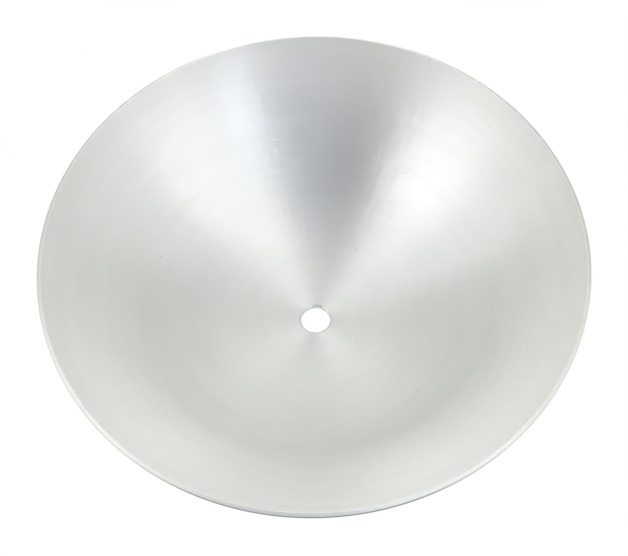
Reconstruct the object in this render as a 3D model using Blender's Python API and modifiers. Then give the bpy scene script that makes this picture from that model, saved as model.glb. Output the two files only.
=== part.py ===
"""A bell cymbal: one thick aluminium sheet spun into a deep round bowl.

The bowl lies mouth up on its crown. The crown is flat where the felt washers of a stand clamp it, and the
stand's rod passes through the hole in its middle. From the crown the wall rises in one arc to the rim, whose
edge is turned square to the wall and rounded over on its outside.
"""

import math

import bpy

MM = 0.001

# Sizes of the bell, each of which can be set by itself.
DIAMETER = 228.6 * MM  # 9 inches, as trimmed, before the rim is rounded
HEIGHT = 55.0 * MM  # from the crown's outer face to the trimmed rim's outer edge
WALL = 2.3 * MM
CROWN_DIAMETER = 22.0 * MM  # flat seat round the hole, for the felt washers
HOLE_DIAMETER = 12.7 * MM  # half an inch, for the rod of a cymbal stand
HOLE_ROUNDING = 0.7 * MM  # the hole's edges are deburred with a countersink and polished
RIM_ROUNDING = 1.0 * MM  # the rim's outer edge, where a hand takes the bell, is rounded over
LIP_ROUNDING = 0.35 * MM  # the rim's inner edge is only broken, so that it doesn't cut a hand

# Fineness of the facets.
TURN_STEPS = 96
ARC_STEPS = 14
ROUNDING_STEPS = 3

METAL_COLOUR = (0.80, 0.81, 0.80, 1.0)
METAL_ROUGHNESS = 0.32


def clear_scene():
    """Removes what the startup file holds."""
    for obj in list(bpy.data.objects):
        bpy.data.objects.remove(obj)


def wall_points(depth_in_wall):
    """Points of the arc that leaves the crown level at its edge and meets the rim, at a depth under the outside."""
    run = (DIAMETER - CROWN_DIAMETER) / 2
    outer_radius = (run**2 + HEIGHT**2) / (2 * HEIGHT)
    opening = math.atan2(run, outer_radius - HEIGHT)
    radius = outer_radius - depth_in_wall
    angles = [opening * step / ARC_STEPS for step in range(ARC_STEPS + 1)]
    return [
        (CROWN_DIAMETER / 2 + radius * math.sin(angle), outer_radius - radius * math.cos(angle))
        for angle in angles
    ]


def rounded_corner(before, corner, after, rounding):
    """Points of an arc that rounds a corner of the outline, tangent to the lines on both sides of it."""
    towards_before = math.atan2(before[1] - corner[1], before[0] - corner[0])
    towards_after = math.atan2(after[1] - corner[1], after[0] - corner[0])
    inside_angle = (towards_after - towards_before + math.pi) % (2 * math.pi) - math.pi
    bisector = towards_before + inside_angle / 2
    reach = rounding / math.sin(abs(inside_angle) / 2)
    centre = (corner[0] + reach * math.cos(bisector), corner[1] + reach * math.sin(bisector))
    sweep = math.copysign(math.pi, inside_angle) - inside_angle
    first = bisector + math.pi + sweep / 2
    angles = [first - sweep * step / ROUNDING_STEPS for step in range(ROUNDING_STEPS + 1)]
    return [
        (centre[0] + rounding * math.cos(angle), centre[1] + rounding * math.sin(angle))
        for angle in angles
    ]


def bell_outline():
    """The section of the bell, from the rim down the outside, through the hole and up the inside."""
    outside = wall_points(0.0)[::-1]
    inside = wall_points(WALL)
    rim_outside, rim_inside = outside[0], inside[-1]
    hole_outside = (HOLE_DIAMETER / 2, 0.0)
    hole_inside = (HOLE_DIAMETER / 2, WALL)
    largest_rounding = 0.45 * WALL
    hole_rounding = min(HOLE_ROUNDING, largest_rounding)
    rim_rounding = min(RIM_ROUNDING, largest_rounding)
    lip_rounding = min(LIP_ROUNDING, largest_rounding)
    return [
        *rounded_corner(rim_inside, rim_outside, outside[1], rim_rounding),
        *outside[1:],
        *rounded_corner(outside[-1], hole_outside, hole_inside, hole_rounding),
        *rounded_corner(hole_outside, hole_inside, inside[0], hole_rounding),
        *inside[:-1],
        *rounded_corner(inside[-2], rim_inside, rim_outside, lip_rounding),
    ]


def turned_object(name, outline, collection):
    """An object whose closed outline, drawn in the XZ plane, is turned once round the Z axis."""
    mesh = bpy.data.meshes.new(name)
    edges = [(i, (i + 1) % len(outline)) for i in range(len(outline))]
    mesh.from_pydata([(radius, 0.0, height) for radius, height in outline], edges, [])
    obj = bpy.data.objects.new(name, mesh)
    collection.objects.link(obj)
    turn = obj.modifiers.new("turn", "SCREW")
    turn.axis = "Z"
    turn.angle = 2 * math.pi
    turn.steps = turn.render_steps = TURN_STEPS
    turn.use_merge_vertices = True
    turn.merge_threshold = 0.00001
    turn.use_smooth_shade = True
    return obj


def spun_aluminium():
    """Bare aluminium with the fine circular grain of spinning and sanding."""
    material = bpy.data.materials.new("spun_aluminium")
    material.use_nodes = True
    shader = material.node_tree.nodes["Principled BSDF"]
    shader.inputs["Base Color"].default_value = METAL_COLOUR
    shader.inputs["Metallic"].default_value = 1.0
    shader.inputs["Roughness"].default_value = METAL_ROUGHNESS
    return material


def build():
    """Makes the bell in a collection of its own."""
    clear_scene()
    collection = bpy.data.collections.new("bell_cymbal")
    bpy.context.scene.collection.children.link(collection)
    bell = turned_object("bell", bell_outline(), collection)
    bell.data.materials.append(spun_aluminium())


build()
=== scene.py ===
"""A bell cymbal of spun aluminium, lying mouth up in a white studio.

The bell is one turned piece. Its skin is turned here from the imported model's sizes, with finer steps and the
faint ripples that the spinning roller leaves. Its metal has the circular grain of sanding on a lathe, which
spreads each lamp's reflection into a wedge of light that runs down to the hole.
"""

import logging
import math
from collections.abc import Mapping, Sequence
from dataclasses import dataclass, field
from enum import Enum
from typing import Any, NamedTuple

import bmesh
import bpy
from mathutils import Matrix, Vector, noise


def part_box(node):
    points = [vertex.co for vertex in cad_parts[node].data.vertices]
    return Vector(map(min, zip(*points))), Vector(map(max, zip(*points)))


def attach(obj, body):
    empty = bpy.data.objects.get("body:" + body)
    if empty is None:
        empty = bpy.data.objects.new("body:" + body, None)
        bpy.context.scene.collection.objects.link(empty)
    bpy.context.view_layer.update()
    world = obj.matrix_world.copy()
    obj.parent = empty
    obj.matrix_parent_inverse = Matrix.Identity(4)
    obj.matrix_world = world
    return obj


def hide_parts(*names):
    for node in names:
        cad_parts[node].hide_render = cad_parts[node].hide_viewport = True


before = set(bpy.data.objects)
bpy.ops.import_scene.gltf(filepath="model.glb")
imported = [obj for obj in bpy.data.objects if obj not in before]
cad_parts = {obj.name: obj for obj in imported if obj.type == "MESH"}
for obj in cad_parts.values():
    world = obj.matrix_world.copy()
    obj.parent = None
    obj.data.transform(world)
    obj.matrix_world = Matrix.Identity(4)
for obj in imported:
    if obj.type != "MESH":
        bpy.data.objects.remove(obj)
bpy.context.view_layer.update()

MM = 0.001
IMAGE_WIDTH = 628  # in pixels
QUARTER_TURN = 0.25  # turns the shader's anisotropy, so that it spreads light across the grain
COLOUR_A, COLOUR_B, COLOUR_MIXED = 6, 7, 2  # a Mix node's colour sockets; others have the same names
LOG = logging.getLogger("bell_cymbal")

Colour = tuple[float, float, float, float]
Point = tuple[float, float]


class Surface(Enum):
    """The ways a stretch of the bell is worked, by the number of the material slot that each one takes."""

    SANDED = 0
    ROUNDED = 1
    # Filed, in a darker colour: painted shade that draws thin dark lines at the rim's outer edge and the hole.
    FILED = 2
    DEBURRED = 3


class OutlinePoint(NamedTuple):
    """A point of the bell's section and how the stretch that starts there is worked."""

    radius: float
    height: float
    surface: Surface
    share: float = 0.0  # how far along the wall's arc it lies, from 0 at the crown to 1 at the rim


def linear_colour(hex_code: str) -> Colour:
    """Turns an sRGB colour into the linear one that shaders work with.

    Args:
        hex_code: The colour as "#RRGGBB".

    Returns:
        Red, green and blue from 0 to 1, and an alpha of 1.
    """
    channels = (int(hex_code[start:start + 2], 16) / 255 for start in (1, 3, 5))
    red, green, blue = (c / 12.92 if c <= 0.04045 else ((c + 0.055) / 1.055) ** 2.4 for c in channels)
    return red, green, blue, 1.0


def add_node(
    tree: bpy.types.NodeTree, kind: str, inputs: Mapping[str | int, Any] | None = None, **settings: Any
) -> bpy.types.Node:
    """Adds a node with its settings and its inputs.

    Args:
        tree: The node tree that gets the node.
        kind: The node's class, such as "ShaderNodeTexNoise".
        inputs: For an input's name or number, its value, or the output that feeds it.
        **settings: The node's own options, such as operation="ADD".

    Returns:
        The new node.
    """
    node = tree.nodes.new(kind)
    for name, value in settings.items():
        setattr(node, name, value)
    for key, value in (inputs or {}).items():
        if isinstance(value, bpy.types.NodeSocket):
            tree.links.new(value, node.inputs[key])
        else:
            node.inputs[key].default_value = value
    return node


def direction(bearing_degrees: float, rise_degrees: float) -> Vector:
    """A unit vector from the bell towards something in the studio.

    Args:
        bearing_degrees: Angle anticlockwise from +X, seen from above.
        rise_degrees: Angle above the floor.

    Returns:
        The unit vector.
    """
    bearing, rise = math.radians(bearing_degrees), math.radians(rise_degrees)
    return Vector((math.cos(rise) * math.cos(bearing), math.cos(rise) * math.sin(bearing), math.sin(rise)))


def facing(outward: Vector, distance: float, target: Vector) -> Matrix:
    """The place of a panel or lamp that looks at a point with its foot edge level.

    Args:
        outward: Unit vector from the point towards the panel.
        distance: How far away the panel is.
        target: The point.

    Returns:
        The panel's matrix, whose Z axis points away from the target.
    """
    across = Vector((0, 0, 1)).cross(outward).normalized()
    place = Matrix((across, outward.cross(across), outward)).transposed().to_4x4()
    place.translation = target + outward * distance
    return place


class LatheField:
    """Noise that runs with the turning of the bell, so that the grain circles the axis and has no seam."""

    CLUSTER_SPACINGS = 6  # size of a cluster of specks, where 1 is the distance between two specks
    CLUSTER_LEVELS = (0.45, 0.6)  # the noise that brings the first specks, and the noise that brings them all

    def __init__(self, tree: bpy.types.NodeTree) -> None:
        """Adds the nodes that give a point's radius, height and heading from the axis.

        Args:
            tree: The material's node tree.
        """
        self.tree = tree
        self.place = add_node(tree, "ShaderNodeTexCoord").outputs["Object"]
        parts = add_node(tree, "ShaderNodeSeparateXYZ", {0: self.place})
        self.height = parts.outputs["Z"]
        flat = add_node(tree, "ShaderNodeCombineXYZ", {"X": parts.outputs["X"], "Y": parts.outputs["Y"]})
        self.radius = add_node(
            tree, "ShaderNodeVectorMath", {0: flat.outputs[0]}, operation="LENGTH"
        ).outputs["Value"]
        self.heading = add_node(
            tree, "ShaderNodeVectorMath", {0: flat.outputs[0]}, operation="NORMALIZE"
        ).outputs["Vector"]

    def strands(
        self, width_mm: float, arc_degrees: float, shift: float = 0.0
    ) -> tuple[bpy.types.NodeSocket, bpy.types.NodeSocket]:
        """Coordinates whose unit is a strand of grain, for a four-dimensional texture.

        Args:
            width_mm: Width of a strand across the grain.
            arc_degrees: Length of a strand along the grain, as an angle round the axis.
            shift: Moves the pattern, so that two patterns differ.

        Returns:
            The texture's Vector and its W.
        """
        tree = self.tree
        per_metre = 1 / (width_mm * MM)
        across = add_node(
            tree, "ShaderNodeMath", {0: self.radius, 1: per_metre, 2: shift}, operation="MULTIPLY_ADD"
        )
        upward = add_node(tree, "ShaderNodeMath", {0: self.height, 1: per_metre}, operation="MULTIPLY")
        around = add_node(
            tree,
            "ShaderNodeVectorMath",
            {0: self.heading, "Scale": 1 / math.radians(arc_degrees)},
            operation="SCALE",
        )
        lift = add_node(tree, "ShaderNodeCombineXYZ", {"Z": across.outputs[0]})
        where = add_node(
            tree, "ShaderNodeVectorMath", {0: around.outputs[0], 1: lift.outputs[0]}, operation="ADD"
        )
        return where.outputs["Vector"], upward.outputs[0]

    def grain(
        self, width_mm: float, arc_degrees: float, detail: float = 2.0, shift: float = 0.0
    ) -> bpy.types.NodeSocket:
        """Noise drawn out round the axis.

        Args:
            width_mm: Size of its spots across the grain.
            arc_degrees: Length of its spots along the grain, as an angle round the axis.
            detail: Number of finer layers.
            shift: Moves the pattern, so that two grains differ.

        Returns:
            The noise, from 0 to 1 with a middle of 0.5.
        """
        where, upward = self.strands(width_mm, arc_degrees, shift)
        spots = add_node(
            self.tree,
            "ShaderNodeTexNoise",
            {"Vector": where, "W": upward, "Scale": 1.0, "Detail": detail},
            noise_dimensions="4D",
        )
        return spots.outputs["Fac"]

    def cloud(self, size_mm: float, detail: float = 2.0) -> bpy.types.NodeSocket:
        """Noise with no direction, for the film that handling leaves.

        Args:
            size_mm: Size of its spots.
            detail: Number of finer layers.

        Returns:
            The noise, from 0 to 1 with a middle of 0.5.
        """
        spots = add_node(
            self.tree,
            "ShaderNodeTexNoise",
            {"Vector": self.place, "Scale": 1 / (size_mm * MM), "Detail": detail},
        )
        return spots.outputs["Fac"]

    def specks(self, spacing_mm: float, size_mm: float, kept_share: float) -> bpy.types.NodeSocket:
        """Small soft spots of uneven outline, strewn in loose clusters.

        Args:
            spacing_mm: Distance between the places where a spot could be.
            size_mm: A spot's diameter.
            kept_share: Share of those places that have a spot, where they are thickest.

        Returns:
            1 in the middle of a spot and 0 outside.
        """
        tree = self.tree
        ragged = add_node(tree, "ShaderNodeTexNoise", {"Vector": self.place, "Scale": 1 / (size_mm * MM)})
        bend = Vector((size_mm * MM,) * 3)
        bent = add_node(
            tree,
            "ShaderNodeVectorMath",
            {0: ragged.outputs["Color"], 1: bend, 2: self.place},
            operation="MULTIPLY_ADD",
        )
        cells = add_node(
            tree, "ShaderNodeTexVoronoi", {"Vector": bent.outputs["Vector"], "Scale": 1 / (spacing_mm * MM)}
        )
        spot = add_node(
            tree,
            "ShaderNodeMapRange",
            {"Value": cells.outputs["Distance"], "From Min": size_mm / spacing_mm / 2, "From Max": 0.0},
        )
        lot = add_node(tree, "ShaderNodeSeparateColor", {0: cells.outputs["Color"]})
        first, most = self.CLUSTER_LEVELS
        cluster = add_node(
            tree,
            "ShaderNodeMapRange",
            {
                "Value": self.cloud(self.CLUSTER_SPACINGS * spacing_mm, detail=0.0),
                "From Min": first,
                "From Max": most,
                "To Max": kept_share,
            },
        )
        kept = add_node(
            tree, "ShaderNodeMath", {0: lot.outputs[0], 1: cluster.outputs["Result"]}, operation="LESS_THAN"
        )
        mask = add_node(
            tree, "ShaderNodeMath", {0: spot.outputs["Result"], 1: kept.outputs[0]}, operation="MULTIPLY"
        )
        return mask.outputs[0]


@dataclass(frozen=True)
class LatheFinish:
    """Bare aluminium, worked while it turns on a lathe.

    Sandpaper or a tool leaves grooves that all circle the axis. They are too fine to see one by one, so the
    shader's anisotropy stands for them: a reflection is spread wide across the grooves and stays narrow along
    them. A coarser grain lies over it. Its strands lean a little to either side, which breaks the edges of the
    reflections into short arcs. Wider chatter marks make those edges waver, and short nicks catch the light.
    """

    name: str
    bright_colour: str
    dull_colour: str
    least_roughness: float
    most_roughness: float
    anisotropy: float
    grain_mm: float
    grain_arc_degrees: float
    grain_depth_mm: float
    lean_degrees: float
    chatter_mm: float = 14.0
    chatter_arc_degrees: float = 1.2
    chatter_lean_degrees: float = 1.2
    nick_mm: float = 0.5
    nick_arc_degrees: float = 2.2
    nick_lean_degrees: float = -2.5
    nick_levels: Point = (0.74, 0.8)  # the noise that starts a nick, and the noise where it is deepest
    film_mm: float = 5.0
    film_arc_degrees: float = 35.0
    haze_mm: float = 26.0
    film_levels: Point = (0.35, 0.65)  # the noise where the metal is cleanest, and where it is dullest
    speck_colour: str = "#CCCECB"
    speck_mm: float = 1.3
    speck_spacing_mm: float = 6.0
    speck_share: float = 0.3

    def material(self) -> bpy.types.Material:
        """Makes the finish's material.

        Returns:
            The material.
        """
        material = bpy.data.materials.new(self.name)
        material.use_nodes = True
        tree = material.node_tree
        shader = tree.nodes["Principled BSDF"]
        shader.inputs["Metallic"].default_value = 1.0
        shader.inputs["Anisotropic"].default_value = self.anisotropy
        shader.inputs["Anisotropic Rotation"].default_value = QUARTER_TURN
        around = add_node(tree, "ShaderNodeTangent", direction_type="RADIAL", axis="Z").outputs["Tangent"]
        tree.links.new(around, shader.inputs["Tangent"])
        lathe = LatheField(tree)
        film = self.film(lathe)
        tree.links.new(self.colour(lathe, film), shader.inputs["Base Color"])
        roughness = add_node(
            tree,
            "ShaderNodeMapRange",
            {"Value": film, "To Min": self.least_roughness, "To Max": self.most_roughness},
        )
        tree.links.new(roughness.outputs["Result"], shader.inputs["Roughness"])
        tree.links.new(self.relief(lathe, around), shader.inputs["Normal"])
        return material

    def film(self, lathe: LatheField) -> bpy.types.NodeSocket:
        """The thin uneven film of oxide and handling, drawn out a little along the grain.

        Args:
            lathe: The bell's noise.

        Returns:
            0 where the metal is cleanest and 1 where it is dullest.
        """
        bands = lathe.grain(self.film_mm, self.film_arc_degrees, detail=1.0, shift=7.0)
        haze = lathe.cloud(self.haze_mm)
        mixed = add_node(
            lathe.tree, "ShaderNodeMix", {"Factor": 0.5, "A": bands, "B": haze}, data_type="FLOAT"
        )
        cleanest, dullest = self.film_levels
        stretched = add_node(
            lathe.tree,
            "ShaderNodeMapRange",
            {"Value": mixed.outputs["Result"], "From Min": cleanest, "From Max": dullest},
        )
        return stretched.outputs["Result"]

    def colour(self, lathe: LatheField, film: bpy.types.NodeSocket) -> bpy.types.NodeSocket:
        """The metal's colour, with the film and a few dark specks.

        Args:
            lathe: The bell's noise.
            film: How dull the metal is.

        Returns:
            The colour.
        """
        clean = add_node(
            lathe.tree,
            "ShaderNodeMix",
            {
                "Factor": film,
                COLOUR_A: linear_colour(self.bright_colour),
                COLOUR_B: linear_colour(self.dull_colour),
            },
            data_type="RGBA",
        )
        marks = lathe.specks(self.speck_spacing_mm, self.speck_mm, self.speck_share)
        marked = add_node(
            lathe.tree,
            "ShaderNodeMix",
            {
                "Factor": marks,
                COLOUR_A: clean.outputs[COLOUR_MIXED],
                COLOUR_B: linear_colour(self.speck_colour),
            },
            data_type="RGBA",
        )
        return marked.outputs[COLOUR_MIXED]

    def relief(self, lathe: LatheField, around: bpy.types.NodeSocket) -> bpy.types.NodeSocket:
        """The grain's relief, with strands, chatter marks and nicks that lean a little along the grain.

        Args:
            lathe: The bell's noise.
            around: The direction that the grain runs in.

        Returns:
            The normal.
        """
        tree = lathe.tree
        fine = lathe.grain(self.grain_mm, self.grain_arc_degrees)
        bumped = add_node(tree, "ShaderNodeBump", {"Height": fine, "Distance": self.grain_depth_mm * MM})
        strands = lathe.grain(self.grain_mm, self.grain_arc_degrees, detail=1.0, shift=31.0)
        chatter = lathe.grain(self.chatter_mm, self.chatter_arc_degrees, detail=1.0, shift=47.0)
        nicks = lathe.grain(self.nick_mm, self.nick_arc_degrees, detail=0.0, shift=53.0)
        normal = bumped.outputs["Normal"]
        for marks, lowest, highest, lean_from, lean_to in (
            (strands, 0.0, 1.0, -self.lean_degrees, self.lean_degrees),
            (chatter, 0.0, 1.0, -self.chatter_lean_degrees, self.chatter_lean_degrees),
            (nicks, *self.nick_levels, 0.0, self.nick_lean_degrees),
        ):
            lean = add_node(
                tree,
                "ShaderNodeMapRange",
                {
                    "Value": marks,
                    "From Min": lowest,
                    "From Max": highest,
                    "To Min": math.tan(math.radians(lean_from)),
                    "To Max": math.tan(math.radians(lean_to)),
                },
            )
            side = add_node(
                tree, "ShaderNodeVectorMath", {0: around, "Scale": lean.outputs["Result"]}, operation="SCALE"
            )
            leaning = add_node(
                tree, "ShaderNodeVectorMath", {0: normal, 1: side.outputs["Vector"]}, operation="ADD"
            )
            normal = leaning.outputs["Vector"]
        unit = add_node(tree, "ShaderNodeVectorMath", {0: normal}, operation="NORMALIZE")
        return unit.outputs["Vector"]


# Sheet sanded with fine grit as it turned: a soft pale grey, with wedges of light whose edges are slightly
# ragged.
SANDED_SHEET = LatheFinish(
    name="sanded_aluminium",
    bright_colour="#EDEBEB",
    dull_colour="#E9E7E6",
    least_roughness=0.38,
    most_roughness=0.39,
    anisotropy=0.81,
    grain_mm=0.6,  # the real grooves are about 0.05 mm apart; these are as coarse as they need to be to show
    grain_arc_degrees=9.0,
    grain_depth_mm=0.003,
    lean_degrees=1.0,
)

# The rim's face, its broken inner edge and the start of its rounding, smoothed with sandpaper after the sheet
# was trimmed: a soft satin band without hard glints.
ROUNDED_RIM = LatheFinish(
    name="rounded_aluminium",
    bright_colour="#F1F0EE",
    dull_colour="#EAE9E7",
    least_roughness=0.46,
    most_roughness=0.52,
    anisotropy=0.3,
    grain_mm=0.35,
    grain_arc_degrees=14.0,
    grain_depth_mm=0.004,
    lean_degrees=2.0,
)

# The outer part of the rim's rounding, the hole's wall and the last of its rounding beside the crown, worked
# with a file: coarse scratches. Its darker colour is painted shade, which draws a thin dark line along these
# edges.
FILED_CORNER_PAINTED_SHADE = LatheFinish(
    name="filed_aluminium_painted_shade",
    bright_colour="#D9D9DA",
    dull_colour="#CACACC",
    least_roughness=0.40,
    most_roughness=0.52,
    anisotropy=0.3,
    grain_mm=0.4,
    grain_arc_degrees=5.0,
    grain_depth_mm=0.012,
    lean_degrees=4.0,
)

# The hole's rounded edges, cut with a hand deburrer: small hard glints.
DEBURRED_HOLE = LatheFinish(
    name="deburred_aluminium",
    bright_colour="#F5F6F5",
    dull_colour="#E9EAE8",
    least_roughness=0.10,
    most_roughness=0.18,
    anisotropy=0.4,
    grain_mm=0.3,
    grain_arc_degrees=14.0,
    grain_depth_mm=0.006,
    lean_degrees=9.0,
)


@dataclass
class BellCymbal:
    """The bell: a section, turned round the axis, with a finish for each way that it is worked."""

    diameter: float = 228.6 * MM  # as trimmed, before the rim is rounded
    height: float = 55.0 * MM  # from the crown's outer face to the trimmed rim's outer edge
    wall: float = 2.3 * MM
    crown_diameter: float = 22.0 * MM
    hole_diameter: float = 12.7 * MM
    hole_rounding: float = 0.7 * MM
    lip_rounding: float = 0.35 * MM  # inside the rim
    rim_rounding: float = 1.0 * MM  # outside it
    ripple_pitch: float = 4.6 * MM  # the roller's feed for each turn of the lathe, where it last pressed
    ripple_height: float = 0.018 * MM
    ripple_strength: float = 0.2  # on average, where 1 is the full height
    ripple_patchiness: float = 2.4  # how much stronger the ripples are in their strongest patches
    ripple_wander: float = 0.4  # how far they wander along the wall, where 1 is their pitch
    wander_spots: float = 5.0  # spots of that wandering along the wall
    patch_spots: Point = (3.0, 9.0)  # patches round the axis and along the wall
    shading_lead: float = 0.08 * MM  # a thin strip beside each rounding, which keeps its shading to itself
    turn_steps: int = 256
    inside_steps: int = 128
    outside_steps: int = 64
    crown_steps: int = 3
    rounding_steps: int = 9
    finishes: dict[Surface, LatheFinish] = field(
        default_factory=lambda: {
            Surface.SANDED: SANDED_SHEET,
            Surface.ROUNDED: ROUNDED_RIM,
            Surface.FILED: FILED_CORNER_PAINTED_SHADE,
            Surface.DEBURRED: DEBURRED_HOLE,
        }
    )

    @property
    def wall_run(self) -> float:
        """How far out the wall's arc reaches from the crown's edge."""
        return (self.diameter - self.crown_diameter) / 2

    @property
    def rim_slope(self) -> float:
        """Angle from level at which the wall's arc meets the rim, in radians."""
        return 2 * math.atan2(self.height, self.wall_run)

    @property
    def arc_radius(self) -> float:
        """Radius of the outer face's arc."""
        return self.wall_run / math.sin(self.rim_slope)

    def wall_points(self, depth: float, steps: int) -> list[OutlinePoint]:
        """Points along one face of the wall, from the crown to the rim.

        Args:
            depth: How far under the outer face they lie.
            steps: Number of steps between them.

        Returns:
            The points.
        """
        reach = self.arc_radius - depth
        shares = [step / steps for step in range(steps + 1)]
        return [
            OutlinePoint(
                self.crown_diameter / 2 + reach * math.sin(self.rim_slope * share),
                self.arc_radius - reach * math.cos(self.rim_slope * share),
                Surface.SANDED,
                share,
            )
            for share in shares
        ]

    def rounded_corner(
        self, before: Point, corner: Point, after: Point, rounding: float, worked: Sequence[Surface]
    ) -> list[OutlinePoint]:
        """Points of an arc that rounds a corner of the section, with a thin strip on either side of it.

        Args:
            before: The section's point before the corner.
            corner: The sharp corner.
            after: The section's point after the corner.
            rounding: The arc's radius.
            worked: How the section is worked before the arc, on each third of it and after it.

        Returns:
            The points.
        """
        towards_before = math.atan2(before[1] - corner[1], before[0] - corner[0])
        towards_after = math.atan2(after[1] - corner[1], after[0] - corner[0])
        inside_angle = (towards_after - towards_before + math.pi) % (2 * math.pi) - math.pi
        bisector = towards_before + inside_angle / 2
        reach = rounding / math.sin(abs(inside_angle) / 2)
        centre = (corner[0] + reach * math.cos(bisector), corner[1] + reach * math.sin(bisector))
        sweep = math.copysign(math.pi, inside_angle) - inside_angle
        first = bisector + math.pi + sweep / 2
        arc = []
        for step in range(self.rounding_steps + 1):
            angle = first - sweep * step / self.rounding_steps
            point = centre[0] + rounding * math.cos(angle), centre[1] + rounding * math.sin(angle)
            third = 3 * step // self.rounding_steps
            arc.append(OutlinePoint(*point, worked[1 + third]))
        lead = OutlinePoint(
            arc[0].radius + self.shading_lead * math.cos(towards_before),
            arc[0].height + self.shading_lead * math.sin(towards_before),
            worked[0],
        )
        tail = OutlinePoint(
            arc[-1].radius + self.shading_lead * math.cos(towards_after),
            arc[-1].height + self.shading_lead * math.sin(towards_after),
            worked[-1],
        )
        return [lead, *arc, tail]

    def crown_points(self, height: float) -> list[OutlinePoint]:
        """Points across the flat crown, from its edge towards the hole, without either end."""
        start, end = self.crown_diameter / 2, self.hole_diameter / 2 + self.hole_rounding
        return [
            OutlinePoint(start + (end - start) * step / self.crown_steps, height, Surface.SANDED)
            for step in range(1, self.crown_steps)
        ]

    def section(self) -> list[OutlinePoint]:
        """The bell's closed section, from the rim down the outside, through the hole and up the inside."""
        outside = self.wall_points(0.0, self.outside_steps)[::-1]
        inside = self.wall_points(self.wall, self.inside_steps)
        rim_outside, rim_inside = outside[0][:2], inside[-1][:2]
        hole_outside = (self.hole_diameter / 2, 0.0)
        hole_inside = (self.hole_diameter / 2, self.wall)
        # Filed stretches take a darker colour: painted shade along the rim's outer edge and round the hole.
        sanded, rounded, filed_painted_shade, deburred = Surface
        return [
            *self.rounded_corner(
                rim_inside,
                rim_outside,
                outside[1][:2],
                self.rim_rounding,
                (rounded, rounded, filed_painted_shade, filed_painted_shade, sanded),
            ),
            *self.clear_of(outside, rim_outside, self.rim_rounding),
            *self.crown_points(0.0),
            *self.rounded_corner(
                outside[-1][:2],
                hole_outside,
                hole_inside,
                self.hole_rounding,
                (sanded, deburred, deburred, deburred, filed_painted_shade),
            ),
            *self.rounded_corner(
                hole_outside,
                hole_inside,
                inside[0][:2],
                self.hole_rounding,
                (filed_painted_shade, deburred, deburred, filed_painted_shade, sanded),
            ),
            *self.crown_points(self.wall)[::-1],
            *self.clear_of(inside, rim_inside, self.lip_rounding),
            *self.rounded_corner(
                inside[-2][:2],
                rim_inside,
                rim_outside,
                self.lip_rounding,
                (sanded, rounded, rounded, rounded, rounded),
            ),
        ]

    def clear_of(self, points: list[OutlinePoint], corner: Point, rounding: float) -> list[OutlinePoint]:
        """Leaves out the points of a wall that its rounded corner takes the place of.

        Args:
            points: Points along the wall.
            corner: The sharp corner at its end.
            rounding: The radius of the arc at that corner.

        Returns:
            The other points.
        """
        return [point for point in points if math.dist(point[:2], corner) > rounding + 2 * self.shading_lead]

    def ripple(self, share: float, heading: float) -> float:
        """How far the roller left the sheet off its true arc, which fades out at the crown and at the rim.

        Args:
            share: How far along the wall's arc, from 0 at the crown to 1 at the rim.
            heading: Angle round the axis, in radians.

        Returns:
            The offset towards the inside, in metres.
        """
        turns = share * self.rim_slope * self.arc_radius / self.ripple_pitch
        wander = noise.noise(Vector((math.cos(heading), math.sin(heading), self.wander_spots * share)))
        around, along = self.patch_spots
        patches = noise.noise(
            Vector((around * math.cos(heading), around * math.sin(heading), along + along * share))
        )
        strength = max(self.ripple_strength + self.ripple_patchiness * patches, 0.0)
        fade = math.sin(math.pi * share)
        phase = 2 * math.pi * (turns + self.ripple_wander * wander)
        return self.ripple_height * fade * strength * math.sin(phase)

    def skin(self) -> bpy.types.Object:
        """Turns the section round the axis.

        Returns:
            The bell's object, with the number of its finish on each face.
        """
        section = self.section()
        mesh = bpy.data.meshes.new("bell_skin")
        turned = bmesh.new()
        rings = []
        for step in range(self.turn_steps):
            heading = 2 * math.pi * step / self.turn_steps
            ring = []
            for point in section:
                offset = self.ripple(point.share, heading) if point.share else 0.0
                slope = self.rim_slope * point.share
                radius = point.radius - offset * math.sin(slope)
                height = point.height + offset * math.cos(slope)
                place = radius * math.cos(heading), radius * math.sin(heading), height
                ring.append(turned.verts.new(place))
            rings.append(ring)
        for ring, following in zip(rings, rings[1:] + rings[:1]):
            for index, point in enumerate(section):
                upper = (index + 1) % len(section)
                corners = ring[index], following[index], following[upper], ring[upper]
                face = turned.faces.new(corners)
                face.smooth = True
                face.material_index = point.surface.value
        bmesh.ops.recalc_face_normals(turned, faces=turned.faces)
        turned.to_mesh(mesh)
        turned.free()
        skin = bpy.data.objects.new("bell_skin", mesh)
        bpy.context.scene.collection.objects.link(skin)
        return skin

    def dress(self, skin: bpy.types.Object) -> None:
        """Gives the skin its materials, in the order of their slots.

        Args:
            skin: The bell's object.
        """
        for surface in Surface:
            skin.data.materials.append(self.finishes[surface].material())

    def build(self) -> None:
        """Makes the bell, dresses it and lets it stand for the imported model's node."""
        skin = self.skin()
        self.dress(skin)
        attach(skin, "root")
        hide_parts("bell")
        low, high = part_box("bell")
        LOG.info(
            "%s: %d faces, %.2f x %.2f x %.2f mm in a node of %.2f x %.2f x %.2f mm",
            skin.name,
            len(skin.data.polygons),
            *(size / MM for size in skin.dimensions),
            *(size / MM for size in high - low),
        )


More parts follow.
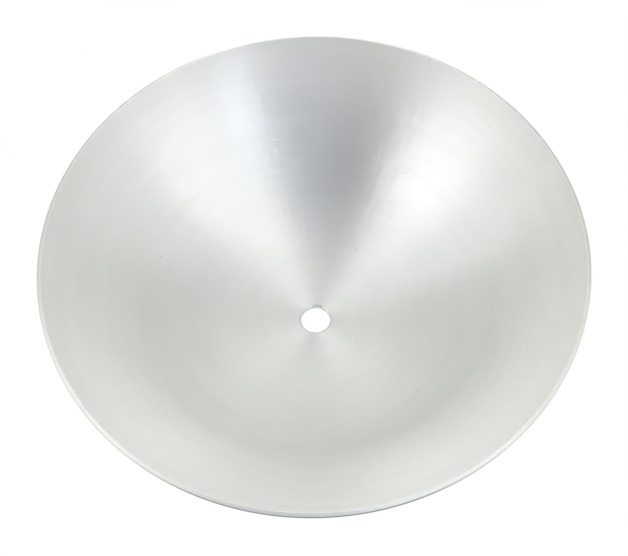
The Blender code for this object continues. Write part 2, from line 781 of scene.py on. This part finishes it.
@dataclass(frozen=True)
class Viewpoint:
    """The camera, held where the photograph was taken from and turned a little, as the photograph was."""

    distance: float = 0.74342
    rise_degrees: float = 60.6114
    roll_degrees: float = -2.083
    focal_length_px: float = 1817.0
    aim_x: float = -0.05 * MM
    aim_y: float = -9.1 * MM

    def build(self, aim_height: float) -> None:
        """Places the camera and makes it the scene's own.

        Args:
            aim_height: Height of the point in the middle of the picture.
        """
        lens = bpy.data.cameras.new("viewpoint")
        lens.lens = self.focal_length_px / IMAGE_WIDTH * lens.sensor_width
        camera = bpy.data.objects.new("viewpoint", lens)
        backward = direction(-90.0, self.rise_degrees)
        place = facing(backward, self.distance, Vector((self.aim_x, self.aim_y, aim_height)))
        camera.matrix_world = place @ Matrix.Rotation(math.radians(self.roll_degrees), 4, "Z")
        bpy.context.scene.collection.objects.link(camera)
        bpy.context.scene.camera = camera
        LOG.info("%s: %.2f m away, %.1f mm lens", camera.name, self.distance, lens.lens)


MOUTH_CENTRE = Vector((0.0, 0.0, BellCymbal.height))


@dataclass(frozen=True)
class Softbox:
    """A lamp behind white cloth. Its light adds to that of the wall behind it."""

    name: str
    bearing_degrees: float
    rise_degrees: float
    width: float
    height: float
    brightness: float  # how bright the cloth looks, where white paper is 1
    colour: str = "#FFFFFF"
    distance: float = 3.0

    def build(self) -> None:
        """Places the lamp, facing the middle of the bell's mouth."""
        lamp = bpy.data.lights.new(self.name, "AREA")
        lamp.shape = "RECTANGLE"
        lamp.size, lamp.size_y = self.width, self.height
        lamp.energy = self.brightness * math.pi * self.width * self.height
        lamp.color = linear_colour(self.colour)[:3]
        stand = bpy.data.objects.new(self.name, lamp)
        outward = direction(self.bearing_degrees, self.rise_degrees)
        stand.matrix_world = facing(outward, self.distance, MOUTH_CENTRE)
        stand.visible_camera = False
        bpy.context.scene.collection.objects.link(stand)
        LOG.info("%s: %.2f x %.2f m, brightness %.2f", self.name, self.width, self.height, self.brightness)


@dataclass(frozen=True)
class Flag:
    """A dark cloth or card that the camera doesn't see, for the metal to mirror.

    The cloths hang behind the camera and make the dark wedge. The cards stand or lie on the paper beside the
    bell and darken what its rim mirrors; the ones that only the metal sees are painted shade in its
    reflection.
    """

    name: str
    bearing_degrees: float
    rise_degrees: float
    width: float
    height: float
    brightness: float
    colour: str = "#FFFFFF"
    distance: float = 2.5
    aim: tuple[float, float, float] = (0.0, 0.0, BellCymbal.height)  # the point that it faces
    # a card seen only in the metal is painted shade in its reflection
    mirrored_only: bool = False  # leaves no shade on the paper

    def build(self) -> None:
        """Places the cloth where the camera looks through it."""
        mesh = bpy.data.meshes.new(self.name)
        cloth = bmesh.new()
        bmesh.ops.create_grid(cloth, size=0.5)
        bmesh.ops.scale(cloth, vec=(self.width, self.height, 1.0), verts=cloth.verts)
        cloth.to_mesh(mesh)
        cloth.free()
        flag = bpy.data.objects.new(self.name, mesh)
        outward = direction(self.bearing_degrees, self.rise_degrees)
        flag.matrix_world = facing(outward, self.distance, Vector(self.aim))
        flag.visible_camera = False
        flag.visible_diffuse = flag.visible_shadow = not self.mirrored_only
        material = bpy.data.materials.new("dark_cloth")
        material.use_nodes = True
        tree = material.node_tree
        tree.nodes.clear()
        glow = add_node(
            tree, "ShaderNodeEmission", {"Color": linear_colour(self.colour), "Strength": self.brightness}
        )
        add_node(tree, "ShaderNodeOutputMaterial", {"Surface": glow.outputs[0]})
        mesh.materials.append(material)
        bpy.context.scene.collection.objects.link(flag)
        LOG.info("%s: %.2f x %.2f m", flag.name, self.width, self.height)


@dataclass(frozen=True)
class Room:
    """The studio's pale walls and ceiling, as light from every side, with a window low on the far side."""

    ceiling: float = 0.43
    far_wall: float = 0.94
    near_wall: float = 1.12
    ceiling_falloff: float = 0.73
    far_ceiling_colour: str = "#F0F6F0"
    near_ceiling_colour: str = "#DCEFFD"
    far_wall_colour: str = "#FBFFF2"
    near_wall_colour: str = "#FFFCF5"
    window_colour: str = "#FCFFFE"
    window: float = 5.11
    window_narrowing: float = 5.16
    window_foot_degrees: float = 5.3  # above the floor, where it has come to its full brightness
    window_top_degrees: tuple[float, float] = (11.5, 12.7)  # where it starts and ends fading
    post_bearing_degrees: float = 85.0
    post_width_degrees: float = 19.6
    post_shade: float = 0.62

    def build(self) -> None:
        """Makes the world: white where the camera looks, and otherwise the room."""
        world = bpy.data.worlds.new("studio")
        bpy.context.scene.world = world
        world.use_nodes = True
        tree = world.node_tree
        tree.nodes.clear()
        view = add_node(tree, "ShaderNodeTexCoord").outputs["Generated"]
        outward = add_node(tree, "ShaderNodeSeparateXYZ", {0: view})
        level = add_node(
            tree, "ShaderNodeCombineXYZ", {"X": outward.outputs["X"], "Y": outward.outputs["Y"]}
        )
        heading = add_node(
            tree, "ShaderNodeVectorMath", {0: level.outputs[0]}, operation="NORMALIZE"
        ).outputs["Vector"]
        farward = add_node(tree, "ShaderNodeSeparateXYZ", {0: heading}).outputs["Y"]
        height = add_node(
            tree, "ShaderNodeMath", {0: outward.outputs["Z"], 1: 0.0}, operation="MAXIMUM"
        ).outputs[0]
        walls = self.walls(tree, outward.outputs["Y"], farward, height)
        window = self.low_window(tree, heading, farward, height)
        light = add_node(tree, "ShaderNodeAddShader", {0: walls, 1: window})
        white = add_node(tree, "ShaderNodeBackground", {"Color": linear_colour("#FFFFFF"), "Strength": 1.0})
        ray = add_node(tree, "ShaderNodeLightPath")
        seen = add_node(
            tree,
            "ShaderNodeMixShader",
            {0: ray.outputs["Is Camera Ray"], 1: light.outputs[0], 2: white.outputs[0]},
        )
        add_node(tree, "ShaderNodeOutputWorld", {"Surface": seen.outputs[0]})
        LOG.info("studio: walls %.2f to %.2f, ceiling %.2f", self.near_wall, self.far_wall, self.ceiling)

    def walls(
        self,
        tree: bpy.types.NodeTree,
        forward: bpy.types.NodeSocket,
        farward: bpy.types.NodeSocket,
        height: bpy.types.NodeSocket,
    ) -> bpy.types.NodeSocket:
        """The light of the walls, which turns into that of the ceiling further up.

        The near half of the ceiling is lit by daylight and is cooler, which tints the bell's dark wedge.

        Args:
            tree: The world's node tree.
            forward: The direction's own part away from the camera, 0 overhead.
            farward: 1 in the direction away from the camera and -1 towards it.
            height: 0 at the horizon and 1 overhead.

        Returns:
            The light.
        """
        wall = add_node(
            tree,
            "ShaderNodeMapRange",
            {"Value": farward, "From Min": -1.0, "To Min": self.near_wall, "To Max": self.far_wall},
        )
        depth = add_node(tree, "ShaderNodeMath", {0: 1.0, 1: height}, operation="SUBTRACT")
        wall_share = add_node(
            tree, "ShaderNodeMath", {0: depth.outputs[0], 1: self.ceiling_falloff}, operation="POWER"
        ).outputs[0]
        strength = add_node(
            tree,
            "ShaderNodeMix",
            {"Factor": wall_share, "A": self.ceiling, "B": wall.outputs["Result"]},
            data_type="FLOAT",
        )
        tints = []
        for part, near_colour, far_colour in (
            (forward, self.near_ceiling_colour, self.far_ceiling_colour),
            (farward, self.near_wall_colour, self.far_wall_colour),
        ):
            far_share = add_node(tree, "ShaderNodeMapRange", {"Value": part, "From Min": -1.0})
            tint = add_node(
                tree,
                "ShaderNodeMix",
                {
                    "Factor": far_share.outputs["Result"],
                    COLOUR_A: linear_colour(near_colour),
                    COLOUR_B: linear_colour(far_colour),
                },
                data_type="RGBA",
            )
            tints.append(tint.outputs[COLOUR_MIXED])
        ceiling_tint, wall_tint = tints
        colour = add_node(
            tree,
            "ShaderNodeMix",
            {"Factor": wall_share, COLOUR_A: ceiling_tint, COLOUR_B: wall_tint},
            data_type="RGBA",
        )
        light = add_node(
            tree,
            "ShaderNodeBackground",
            {"Color": colour.outputs[COLOUR_MIXED], "Strength": strength.outputs["Result"]},
        )
        return light.outputs["Background"]

    def low_window(
        self,
        tree: bpy.types.NodeTree,
        heading: bpy.types.NodeSocket,
        farward: bpy.types.NodeSocket,
        height: bpy.types.NodeSocket,
    ) -> bpy.types.NodeSocket:
        """The light of a wide low window with a post in it, which fades out to both sides.

        Args:
            tree: The world's node tree.
            heading: Unit vector along the floor.
            farward: 1 in the direction away from the camera and -1 towards it.
            height: 0 at the horizon and 1 overhead.

        Returns:
            The light.
        """
        ahead = add_node(tree, "ShaderNodeMath", {0: farward, 1: 0.0}, operation="MAXIMUM")
        across = add_node(
            tree, "ShaderNodeMath", {0: ahead.outputs[0], 1: self.window_narrowing}, operation="POWER"
        )
        start, end = (math.sin(math.radians(rise)) for rise in self.window_top_degrees)
        upward = add_node(
            tree,
            "ShaderNodeMapRange",
            {"Value": height, "From Min": start, "From Max": end, "To Min": self.window, "To Max": 0.0},
            interpolation_type="SMOOTHSTEP",
        )
        foot = add_node(
            tree,
            "ShaderNodeMapRange",
            {"Value": height, "From Max": math.sin(math.radians(self.window_foot_degrees))},
        )
        beside_post = add_node(
            tree,
            "ShaderNodeVectorMath",
            {0: heading, 1: direction(self.post_bearing_degrees + 90, 0.0)},
            operation="DOT_PRODUCT",
        )
        off_post = add_node(tree, "ShaderNodeMath", {0: beside_post.outputs["Value"]}, operation="ABSOLUTE")
        on_post = add_node(
            tree,
            "ShaderNodeMath",
            {0: off_post.outputs[0], 1: math.sin(math.radians(self.post_width_degrees / 2))},
            operation="LESS_THAN",
        )
        past_post = add_node(
            tree,
            "ShaderNodeMath",
            {0: on_post.outputs[0], 1: -self.post_shade, 2: 1.0},
            operation="MULTIPLY_ADD",
        )
        strength = across
        for part in (upward.outputs["Result"], foot.outputs["Result"], past_post.outputs[0]):
            strength = add_node(
                tree, "ShaderNodeMath", {0: strength.outputs[0], 1: part}, operation="MULTIPLY"
            )
        light = add_node(
            tree,
            "ShaderNodeBackground",
            {"Color": linear_colour(self.window_colour), "Strength": strength.outputs[0]},
        )
        return light.outputs["Background"]


@dataclass(frozen=True)
class Floor:
    """White paper on the floor, lit so far up that only a trace of the bell's shadow is left on it."""

    side: float = 6.0
    colour: str = "#F3F3F1"
    lit_share: float = 0.9
    mirrored_lit_share: float = 0.3  # less, so that the metal shows the bell's shadow with the paper
    lit_brightness: float = 1.05
    gap: float = 0.05 * MM  # under the crown, so that their faces don't coincide

    def build(self) -> None:
        """Makes the floor under the crown."""
        mesh = bpy.data.meshes.new("paper_floor")
        paper = bmesh.new()
        bmesh.ops.create_grid(paper, size=self.side / 2)
        paper.to_mesh(mesh)
        paper.free()
        floor = bpy.data.objects.new("paper_floor", mesh)
        floor.location.z = -self.gap
        material = bpy.data.materials.new("white_paper")
        material.use_nodes = True
        tree = material.node_tree
        tree.nodes.clear()
        plain = add_node(tree, "ShaderNodeBsdfDiffuse", {"Color": linear_colour(self.colour)})
        lit = add_node(
            tree, "ShaderNodeEmission", {"Color": linear_colour("#FFFFFF"), "Strength": self.lit_brightness}
        )
        ray = add_node(tree, "ShaderNodeLightPath")
        mirrored = add_node(
            tree,
            "ShaderNodeMath",
            {0: ray.outputs["Is Glossy Ray"], 1: ray.outputs["Is Transmission Ray"]},
            operation="MAXIMUM",
        )
        share = add_node(
            tree, "ShaderNodeMath", {0: mirrored.outputs[0], 1: self.mirrored_lit_share}, operation="MULTIPLY"
        )
        share = add_node(
            tree,
            "ShaderNodeMath",
            {0: ray.outputs["Is Camera Ray"], 1: self.lit_share, 2: share.outputs[0]},
            operation="MULTIPLY_ADD",
        )
        seen = add_node(
            tree, "ShaderNodeMixShader", {0: share.outputs[0], 1: plain.outputs[0], 2: lit.outputs[0]}
        )
        add_node(tree, "ShaderNodeOutputMaterial", {"Surface": seen.outputs[0]})
        mesh.materials.append(material)
        bpy.context.scene.collection.objects.link(floor)
        LOG.info("%s: %.1f m square", floor.name, self.side)


SOFTBOXES = (
    Softbox("left_softbox", 202.9, 49.9, width=1.53, height=1.31, brightness=0.92, colour="#FFFEF7"),
    Softbox("left_fill", 187.5, 48.2, width=2.92, height=3.34, brightness=0.42),
    Softbox("right_softbox", 329.3, 58.1, width=1.60, height=3.96, brightness=0.74),
    Softbox("right_spot", 298.7, 38.0, width=0.60, height=0.94, brightness=2.00, colour="#E4F1FF"),
    Softbox("right_fill", 3.1, 42.6, width=1.27, height=2.18, brightness=0.33),
    Softbox("far_softbox", 89.6, 75.1, width=2.06, height=4.74, brightness=0.48, colour="#FFFEF8"),
)

FLAGS = (
    Flag("high_flag", 247.7, 74.8, width=1.36, height=1.16, brightness=0.135, colour="#C0D4F8"),
    Flag("left_flag", 240.8, 52.1, width=0.82, height=1.53, brightness=0.36, colour="#EEF1F8"),
    Flag("middle_flag", 272.0, 54.0, width=0.76, height=1.15, brightness=0.67, colour="#DEEBFF"),
    # Lies on the paper in front of the bell, seen only by the metal: a dark sheet that paints the shade in
    # front
    #     # of the bell into what the underside of the near rim mirrors.
    Flag(
        "painted_floor_shade",
        270.0,
        -89.0,
        width=0.24,
        height=0.50,
        brightness=0.24,
        distance=0.049,
        aim=(0.0, -0.36, 0.055),
        mirrored_only=True,
    ),
    # The next three stand on the paper, hardly higher than the rim.
    # Seen only by the metal: a dark card that paints shade into the near rim's reflection, for its thin dark
    # outer line.
    Flag(
        "near_edge_painted_shade",
        268.0,
        0.0,
        width=0.17,
        height=0.061,
        brightness=0.30,
        distance=0.137,
        aim=(0.0, 0.0, 0.0305),
        mirrored_only=True,
    ),
    Flag(
        "left_edge_flag",
        142.0,
        0.0,
        width=0.24,
        height=0.068,
        brightness=0.40,
        distance=0.18,
        aim=(0.0, 0.0, 0.034),
    ),
    Flag(
        "right_edge_flag",
        38.0,
        0.0,
        width=0.24,
        height=0.068,
        brightness=0.40,
        distance=0.18,
        aim=(0.0, 0.0, 0.034),
    ),
)


def main() -> None:
    """Makes the bell and the studio round it."""
    logging.basicConfig(level=logging.INFO, format="%(name)s: %(message)s")
    bell = BellCymbal()
    bell.build()
    Viewpoint().build(bell.height)
    for prop in (*SOFTBOXES, *FLAGS, Room(), Floor()):
        prop.build()
    bpy.context.scene.view_settings.view_transform = "Standard"


if __name__ == "__main__":
    main()
